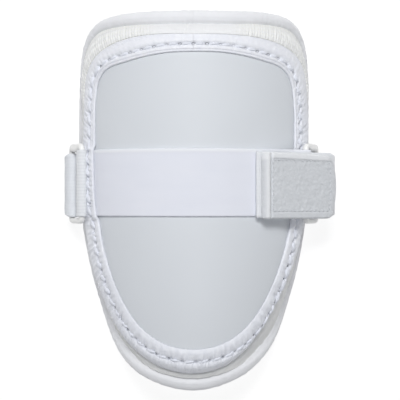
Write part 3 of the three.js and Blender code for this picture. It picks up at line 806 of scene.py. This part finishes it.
def strip_piece(name, lines, ys, thick, material, nodes, relief=None, values=None, edge=0.45, narrow=None):
    """Cloth along lines in the plane across the arm, one for each y, with rounded selvages."""
    lines = np.asarray(lines, float)  # ys, stations, 2
    run = np.gradient(lines, axis=1)
    run /= np.linalg.norm(run, axis=-1, keepdims=True)
    side = np.stack([-run[..., 1], run[..., 0]], -1)
    step = np.linalg.norm(np.diff(lines, axis=1), axis=-1)
    along = np.concatenate([np.zeros((len(ys), 1)), np.cumsum(step, 1)], 1)
    y0, y1 = ys[0], ys[-1]
    v = (ys - y0) / (y1 - y0)
    inset = np.clip(np.minimum(ys - y0, y1 - ys) / (thick * edge), 0, 1)
    body = np.sqrt(1 - (1 - inset) ** 2)
    body = np.maximum(body, 0.12)[:, None]
    extra = np.zeros(along.shape) if relief is None else relief(along, ys[:, None] + 0 * along, v[:, None] + 0 * along)
    high = lines + side * (thick / 2 * body + extra)[..., None]
    low = lines - side * (thick / 2 * body + extra * 0.5)[..., None]
    yy = np.broadcast_to(ys[:, None], along.shape)
    place = yy if narrow is None else (y0 + y1) / 2 + (yy - (y0 + y1) / 2) * (1 - narrow(lines))
    top = np.stack([high[..., 0], place, high[..., 1]], -1)
    bottom = np.stack([low[..., 0], place, low[..., 1]], -1)
    ring = np.concatenate([top, bottom[::-1]], 0).transpose(1, 0, 2)  # stations, around
    rows, columns = ring.shape[:2]
    flat_top = np.stack([along, yy, 0 * yy], -1)
    flat = np.concatenate([flat_top, flat_top[::-1]], 0).transpose(1, 0, 2)
    faces = grid_faces(rows, columns, False, True)
    half = columns // 2
    caps = []
    for j in range(half - 1):
        a, b, c, d = j, j + 1, columns - 2 - j, columns - 1 - j
        caps.append((a, d, c, b))
        e = (rows - 1) * columns
        caps.append((e + a, e + b, e + c, e + d))
    made = {}
    for key, fn in (values or {}).items():
        one = fn(along, yy, v[:, None] + 0 * along)
        made[key] = np.concatenate([one, one[::-1]], 0).T
    return piece(name, ring, faces, material, nodes, flat, made, caps), float(along[:, -1].mean())


RING_BAR = 1.7
RING_Y = 9.2
RING_HALF_LENGTH = 20.9
RING_CORNER = 2.4
RING_INNER = np.array([62.5, 28.5])
RING_OUTER = np.array([69.3, 14.6])
AXIS_Z = float(crown_at(RING_Y) - radius_at(RING_Y))
BAND_THICK, STRAP_THICK, TAB_THICK = 1.1, 2.2, 2.6
BAND_N = 1.0 + 0.4 + BAND_THICK / 2
STRAP_N = BAND_N + BAND_THICK / 2 + 0.4 + STRAP_THICK / 2
TAB_N = STRAP_N + STRAP_THICK / 2 + 0.3 + TAB_THICK / 2
TAB_SLOPE = math.radians(28.5)
BAND_Y = (-8.9, 28.0)
STRAP_Y = (-9.7, 26.4)
TAB_Y = (-10.4, 26.2)
ANCHOR_Y = (-9.2, 27.6)


def about_bar(side, radius, turns):
    slope = math.atan2(RING_INNER[0], RING_INNER[1] - AXIS_Z)
    return [
        (side * (RING_INNER[0] + radius * math.sin(slope + math.radians(t))), RING_INNER[1] + radius * math.cos(slope + math.radians(t)))
        for t in turns
    ]


def tab_run(n, x):
    reach = float(radius_at(RING_Y)) + n
    foot = (reach * math.sin(TAB_SLOPE), AXIS_Z + reach * math.cos(TAB_SLOPE))
    return foot[1] - (np.asarray(x, float) - foot[0]) * math.tan(TAB_SLOPE)


def edge_ys(low, high, count, thick, ribs=None):
    """Steps across a strap, close together at its two edges."""
    inner = np.linspace(low + thick * 0.5, high - thick * 0.5, count)
    ends = np.array([0, 0.06, 0.18, 0.38, 0.66]) * thick * 0.5
    return np.concatenate([low + ends, inner, (high - ends)[::-1]])


def build_band():
    ys = edge_ys(*BAND_Y, 44, BAND_THICK)
    turns = list(range(-20, 181, 12))
    lines = []
    for y in ys:
        s = np.linspace(-66, 46, 120)
        # flat on the plate, and under the binding at its sewn end
        n = BAND_N - 0.32 + 0 * s
        flat = over(s, y, n)[:, [0, 2]]
        rise = np.array([over(a, y, b)[[0, 2]] for a, b in ((49, 1.7), (52, 2.0), (55.2, 3.0), (58, 4.0), (61.6, 6.2))])
        bar = np.array(about_bar(1, RING_BAR + 0.35 + BAND_THICK / 2, turns))
        last = bar[-1] + (bar[-1] - bar[-2]) / np.linalg.norm(bar[-1] - bar[-2]) * 1.4
        tail = catmull(np.concatenate([flat[-2:], rise, bar, [last]]), 0.8)
        lines.append(np.concatenate([flat[:-2], tail]))
    shortest = min(len(x) for x in lines)
    lines = [spaced(x, 1.0) if len(x) != shortest else x for x in lines]
    count = 260
    even = []
    for x in lines:
        step = np.concatenate([[0], np.cumsum(np.linalg.norm(np.diff(x, axis=0), axis=1))])
        want = np.linspace(0, step[-1], count)
        even.append(np.stack([np.interp(want, step, x[:, k]) for k in (0, 1)], -1))

    def relief(along, y, v):
        selvage = 0.16 * np.exp(-(((y - BAND_Y[1] + 1.1) / 0.7) ** 2)) + 0.10 * np.exp(-(((y - BAND_Y[0] - 0.9) / 0.6) ** 2))
        return selvage + 0.035 * mottle(along, y, 12, 51) + 0.05 * np.sin(2 * np.pi * y / 9.0) * 0.4

    tint = lambda along, y, v: 0.9 * np.exp(-(((y - BAND_Y[1] + 1.0) / 0.8) ** 2))
    obj, length = strip_piece("band_cloth", even, ys, BAND_THICK, "band", ["front_band"], relief, {"tint": tint})
    return obj, length


def ribbed(pitch, depth, seed):
    def relief(along, y, v):
        rib = np.abs(np.sin(np.pi * y / pitch)) ** 0.7 - 0.6
        return depth * rib + 0.05 * mottle(along, y, 9, seed)

    return relief


def build_anchor():
    ys = edge_ys(ANCHOR_Y[0], ANCHOR_Y[1] + 0.4, 130, 1.0)
    bar = np.array(about_bar(-1, RING_BAR + 0.3 + 0.5, list(range(-170, 111, 10))))
    start = [tuple(over(-q, RING_Y, n)[[0, 2]]) for q, n in ((75.2, 0.4), (73.6, 1.9), (71.0, 2.9), (68.6, 3.25))]
    last = [tuple(over(-q, RING_Y, n)[[0, 2]]) for q, n in ((71.4, 4.3), (73.9, 3.0), (75.8, 1.5))]
    line = catmull(np.concatenate([start, bar, last]), 0.5)
    rib = ribbed(1.75, 0.22, 61)
    # tint: painted shade between the ribs
    tint = lambda along, y, v: 0.5 * (1 - np.abs(np.sin(np.pi * y / 1.75)) ** 0.6)
    obj, length = strip_piece("anchor_webbing", [line] * len(ys), ys, 1.0, "webbing", ["anchor_left"], lambda a, y, v: rib(a, y, v) * 0.45, {"tint": tint})
    return obj, length


STRAP_LEFT = [
    (-66.3, 9.2), (-66.1, 12.0), (-66.1, 14.8), (-67.3, 17.2), (-69.4, 17.9), (-71.6, 17.0),
    (-72.6, 14.8), (-72.5, 11.6), (-71.8, 8.2), (-70.6, 5.0), (-68.8, 2.7), (-66.0, 1.4), (-62.0, 1.25),
]
STRAP_RIGHT = [
    (62.0, 1.25), (66.0, 1.4), (68.6, 2.9), (69.2, 5.4), (68.2, 8.4), (66.5, 11.4), (66.1, 14.4), (67.0, 17.0),
    (69.4, 17.9), (73.2, 17.7), (76.4, 18.6), (78.1, 20.4), (78.5, 22.6), (77.7, 24.6), (76.1, 26.2),
]


def build_strap():
    ys = edge_ys(*STRAP_Y, 108, 1.6)
    left = catmull(STRAP_LEFT, 0.7)
    middle = np.stack([np.linspace(-60, 60, 60), np.full(60, 1.25)], -1)
    xs = np.linspace(74.4, 34.2, 40)
    right = catmull(STRAP_RIGHT + [(74.4, float(tab_run(STRAP_N, 74.4)))], 0.7)
    end = np.stack([xs, tab_run(STRAP_N, xs)], -1)
    line = np.concatenate([left, middle, right, end[1:]])
    rib = ribbed(1.85, 0.07, 71)

    def relief(along, y, v):
        return rib(along, y, v) + 0.10 * mottle(along, y, 7, 72) - 0.02

    # tint: painted shade between the ribs, and darker along the first 26 to 36 mm, the loop round the left ring
    tint = lambda along, y, v: 0.16 * (1 - np.abs(np.sin(np.pi * y / 1.85)) ** 0.6) + 0.4 * (1 - ramp(along, 26, 36))
    obj, length = strip_piece("strap_webbing", [line] * len(ys), ys, STRAP_THICK - 0.3, "webbing", ["rear_strap"], relief, {"tint": tint}, edge=0.7, narrow=lambda line: 0.07 * ramp(-line[..., 0], 69.6, 73.2) ** 1.6 + 0.06 * ramp(line[..., 0], 75.5, 78.6) ** 1.6)
    return obj, length


# ---- the tab: a pile panel inside a raised, sewn border
TAB_X = (36.9, 77.3)


def build_tab():
    slope_run = 1 / math.cos(TAB_SLOPE)
    length = (TAB_X[1] - TAB_X[0]) * slope_run
    width = TAB_Y[1] - TAB_Y[0]
    u = np.unique(np.concatenate([np.linspace(0, 1.2, 8), np.linspace(1.2, 9, 40), np.linspace(9, length - 4, 90), np.linspace(length - 4, length, 22)]))
    w = np.unique(np.concatenate([np.linspace(0, 1.2, 8), np.linspace(1.2, 6, 22), np.linspace(6, width - 6, 70), np.linspace(width - 6, width - 1.2, 22), np.linspace(width - 1.2, width, 8)]))
    U, W = np.meshgrid(u, w, indexing="ij")
    # its four corners are round, the free ones more
    bite = 1.4 * ramp(U, length * 0.4, length) + 1.6
    far = np.maximum(U - (length - bite), 0) / bite
    near = np.maximum(1.8 - U, 0) / 1.8
    pinch = 0.4 * ramp(U, length - 6, length) ** 2 + (1 - np.sqrt(np.clip(1 - far ** 2, 0, 1))) * bite * 0.62 + (1 - np.sqrt(np.clip(1 - near ** 2, 0, 1))) * 0.9
    W0 = W
    # the upper edge runs down a little towards the free end
    fall = 1.3 * ramp(U, 4, length) * np.clip(W / width, 0, 1) ** 2
    W = pinch + W * (width - 2 * pinch) / width - fall
    edge = np.minimum(W0, width - W0)
    border = 4.0
    rise_in = 1 - ramp(edge, border - 1.4, border + 0.7)  # raised hem along the two long edges
    ridge = np.exp(-(((U - 2.35) / 1.75) ** 2))  # the fat fold at the inner end
    groove = np.exp(-(((U - 5.2) / 0.5) ** 2))
    right = ramp(U, length - 4.4, length - 3.4)
    pile = 0.30 * mottle(U, W, 3.4, 81, 30) + 0.22 * mottle(U, W, 1.7, 82, 30)
    inside = (1 - rise_in) * ramp(U, 5.2, 6.2) * (1 - right)
    upper_side = ramp(W0, width * 0.5, width * 0.7)
    height = 2.15 + (0.14 + 0.62 * upper_side) * rise_in * ramp(U, 4.8, 6.4) + 1.95 * ridge + 0.28 * right - 0.85 * groove + 0.30 * pile * inside
    height -= 0.16 * np.exp(-(((edge - border + 0.1) / 0.45) ** 2)) * ramp(U, 6, 7)
    height += 0.05 * mottle(U, W, 7, 83) * (1 - inside)
    # rounded outer edges
    round_w = np.sqrt(np.clip(1 - (1 - np.clip(edge / 1.2, 0, 1)) ** 2, 0, 1))
    round_u = np.sqrt(np.clip(1 - (1 - np.clip(np.minimum(U, length - U) / 1.2, 0, 1)) ** 2, 0, 1))
    shape = np.minimum(round_w, round_u)
    top = 0.35 + (height - 0.35) * shape
    bow = 2.9 * np.sin(np.pi * W0 / width) ** 0.7 * ramp(U, length * 0.5, length) - 1.3 * ramp(W0, width - 9, width) * ramp(U, length * 0.6, length)
    n0 = STRAP_N + STRAP_THICK / 2 + 0.35
    reach = float(radius_at(RING_Y)) + n0
    foot = (reach * math.sin(TAB_SLOPE), AXIS_Z + reach * math.cos(TAB_SLOPE))
    t0 = (TAB_X[0] - foot[0]) * slope_run
    direction = np.array([math.cos(TAB_SLOPE), -math.sin(TAB_SLOPE)])
    up = np.array([math.sin(TAB_SLOPE), math.cos(TAB_SLOPE)])
    # the free side turns down with the strap
    along = t0 + U + bow
    drop = 0.055 * np.maximum(U - (length - 7), 0) ** 2 / 1.6

    def place(n):
        x = foot[0] + along * direction[0] + (n - drop) * up[0]
        z = foot[1] + along * direction[1] + (n - drop) * up[1]
        return np.stack([x, TAB_Y[0] + W, z], -1)

    face_top, face_low = place(top), place(0.06 + 0 * top)
    rows, columns = U.shape
    points = np.concatenate([face_top.reshape(-1, 3), face_low.reshape(-1, 3)])
    faces = grid_faces(rows, columns)
    offset = rows * columns
    lower = faces[:, ::-1] + offset
    rim = []
    for i in range(rows - 1):
        a, b = i * columns, (i + 1) * columns
        rim.append((a, b, b + offset, a + offset))
        a, b = i * columns + columns - 1, (i + 1) * columns + columns - 1
        rim.append((b, a, a + offset, b + offset))
    for j in range(columns - 1):
        a, b = j, j + 1
        rim.append((b, a, a + offset, b + offset))
        a, b = (rows - 1) * columns + j, (rows - 1) * columns + j + 1
        rim.append((a, b, b + offset, a + offset))
    # tint: painted light on the upper hem and on the fat fold, and less of it in the groove beside the fold, which
    # leaves painted shade there
    tint = np.clip((0.02 + 0.78 * upper_side * rise_in * (1 - 0.5 * right) + 0.85 * ridge) * (1 - inside) - 0.5 * groove, 0, 1)
    flat = np.stack([U, W, 0 * U], -1)
    obj = piece(
        "tab_panel", points, np.concatenate([faces, lower]), "tab", ["hook_tab"],
        np.concatenate([flat.reshape(-1, 3)] * 2), {"tint": np.concatenate([tint.reshape(-1), tint.reshape(-1)])}, rim,
    )

    # the stitches of the box inside the border
    def surface(uu, ww, h):
        a = t0 + uu + 2.9 * math.sin(math.pi * ww / width) ** 0.7 * float(ramp(uu, length * 0.5, length))
        dr = 0.055 * max(uu - (length - 7), 0) ** 2 / 1.6
        return np.array([foot[0] + a * direction[0] + (h - dr) * up[0], TAB_Y[0] + ww, foot[1] + a * direction[1] + (h - dr) * up[1]])

    corners = [(6.0, border + 0.5), (length - 4.6, border + 0.5), (length - 4.6, width - border - 0.5), (6.0, width - border - 0.5)]
    pts, quads, caps, fl = [], [], [], []
    sides = 6
    for q in range(4):
        a, b = np.array(corners[q]), np.array(corners[(q + 1) % 4])
        run = b - a
        count = int(round(np.linalg.norm(run) / 2.6))
        for k in range(count):
            base = len(pts)
            for j, f in enumerate(np.linspace(0.14, 0.86, 6)):
                p = a + run * ((k + f) / count)
                hump = math.sin(math.pi * (f - 0.14) / 0.72)
                c = surface(p[0], p[1], 1.92 + 0.45 * hump ** 0.6)
                d = surface(*(a + run * ((k + f + 0.01) / count)), 1.92 + 0.45 * hump ** 0.6) - c
                d /= np.linalg.norm(d)
                upv = np.array([up[0], 0, up[1]])
                sv = np.cross(d, upv)
                g = 0.30 * (0.6 + 0.4 * hump)
                for r in range(sides):
                    ang = 2 * math.pi * r / sides
                    pts.append(c + g * (math.cos(ang) * sv + math.sin(ang) * upv))
                    fl.append((p[0] + p[1], g * ang, 0))
            for j in range(5):
                for r in range(sides):
                    e = (r + 1) % sides
                    quads.append((base + j * sides + r, base + j * sides + e, base + (j + 1) * sides + e, base + (j + 1) * sides + r))
            caps.append(tuple(base + r for r in reversed(range(sides))))
            caps.append(tuple(base + 5 * sides + r for r in range(sides)))
    piece("tab_stitches", pts, quads, "tab", ["hook_tab"], fl, extra_faces=caps)
    return obj


# ---- the moulded rings
def build_ring(side, name, node):
    inner = np.array([side * RING_INNER[0], RING_Y, RING_INNER[1]])
    outer = np.array([side * RING_OUTER[0], RING_Y, RING_OUTER[1]])
    middle = (inner + outer) / 2
    across = (outer - inner)
    half = np.linalg.norm(across) / 2
    across /= np.linalg.norm(across)
    along = np.array([0.0, 1, 0])
    up = np.cross(across, along)
    path = []
    for w, l, start in ((1, 1, 0), (-1, 1, 90), (-1, -1, 180), (1, -1, 270)):
        for turn in np.radians(np.linspace(start, start + 90, 12)):
            path.append((w * (half - RING_CORNER) + RING_CORNER * math.cos(turn), l * (RING_HALF_LENGTH - RING_CORNER) + RING_CORNER * math.sin(turn), math.cos(turn), math.sin(turn)))
    dense = []
    for k, a in enumerate(path):
        b = path[(k + 1) % len(path)]
        gap = math.hypot(a[0] - b[0], a[1] - b[1])
        steps = max(1, int(gap / 1.5))
        for q in range(steps):
            f = q / steps
            dense.append(tuple(a[i] * (1 - f) + b[i] * f for i in range(4)))
    path = dense
    sides = 20
    points, flat = [], []
    for w, l, ow, ol in path:
        size = math.hypot(ow, ol)
        at = middle + across * w + along * l
        out = (across * ow + along * ol) / size
        for q in range(sides):
            a = 2 * math.pi * q / sides
            c, s = math.cos(a), math.sin(a)
            # a round-cornered square section with a faint mould line
            k = 1 / (abs(c) ** 3 + abs(s) ** 3) ** (1 / 3)
            r = RING_BAR * (0.93 * k if k < 1.08 else 0.93 * (1.08 + (k - 1.08) * 0.6)) + (0.05 if q in (0, 10) else 0)
            r = min(r, RING_BAR * 1.03)
            # the upper end is moulded wider, towards the strap's edge
            if l > 0 and c < 0:
                fill = (ol / size) ** 4 * float(ramp(w, -half + 3.4, -half + 4.2))
                r = r * (1 + fill * 1.0 * abs(c))
            points.append(at + out * r * c + up * r * s)
            flat.append((l, w, r * a))
    return piece(name, points, grid_faces(len(path), sides, True, True), "ring", [node], flat)


build_plate()
build_binding()
build_stitches()
build_pad()
build_rim()
build_ring(-1, "ring_left_moulded", "ring_left")
build_ring(1, "ring_right_moulded", "ring_right")
band, band_length = build_band()
build_anchor()
strap, strap_length = build_strap()
build_tab()

# ---------------------------------------------------------------- floor and light
floor_mesh = bpy.data.meshes.new("floor")
size = 3.0
floor_mesh.from_pydata([(-size, -size, -0.0003), (size, -size, -0.0003), (size, size, -0.0003), (-size, size, -0.0003)], [], [(0, 1, 2, 3)])
floor = bpy.data.objects.new("floor", floor_mesh)
bpy.context.scene.collection.objects.link(floor)
fm = Nodes("floor_paper", 0.9, specular=0.1)
fc = fm.tree.nodes.new("ShaderNodeTexCoord")
fn = fm.tree.nodes.new("ShaderNodeTexNoise")
fn.inputs["Scale"].default_value = 6.0
fm.tree.links.new(fc.outputs["Object"], fn.inputs["Vector"])
fm.shader.inputs["Emission Color"].default_value = (1, 1, 1, 1)
fm.shader.inputs["Emission Strength"].default_value = 0.83
floor_mesh.materials.append(fm.finish(fm.mix((fn, "Fac"), (0.23, 0.23, 0.23), (0.25, 0.25, 0.25))))
# from below the floor is clear, so that the hollow side can be looked at
clear = fm.tree.nodes.new("ShaderNodeBsdfTransparent")
facing = fm.tree.nodes.new("ShaderNodeNewGeometry")
either = fm.tree.nodes.new("ShaderNodeMixShader")
fm.tree.links.new(facing.outputs["Backfacing"], either.inputs[0])
fm.tree.links.new(fm.shader.outputs[0], either.inputs[1])
fm.tree.links.new(clear.outputs[0], either.inputs[2])
fm.tree.links.new(either.outputs[0], fm.tree.nodes["Material Output"].inputs["Surface"])


def area_light(name, place, aim, width, height, power, color=(1, 1, 1)):
    data = bpy.data.lights.new(name, "AREA")
    data.shape = "RECTANGLE"
    data.size, data.size_y = width, height
    data.energy = power
    data.color = color
    obj = bpy.data.objects.new(name, data)
    obj.location = place
    obj.rotation_euler = (Vector(aim) - Vector(place)).to_track_quat("-Z", "Y").to_euler()
    bpy.context.scene.collection.objects.link(obj)
    return obj


area_light("softbox_top", (-0.05, 0.68, 1.26), (0, 0, 0.02), 0.6, 0.36, 13.3)
area_light("softbox_low", (0.03, -0.45, 1.45), (0, 0, 0.02), 0.7, 0.7, 4.4, (0.97, 0.98, 1.0))

world = bpy.data.worlds.new("studio")
world.use_nodes = True
world.node_tree.nodes["Background"].inputs["Color"].default_value = (0.97, 0.98, 1.0, 1)
world.node_tree.nodes["Background"].inputs["Strength"].default_value = 0.165
bpy.context.scene.world = world
bpy.context.scene.view_settings.view_transform = "Standard"
bpy.context.scene.view_settings.look = "None"
bpy.context.scene.view_settings.exposure = 0.0
bpy.context.scene.view_settings.gamma = 1.0
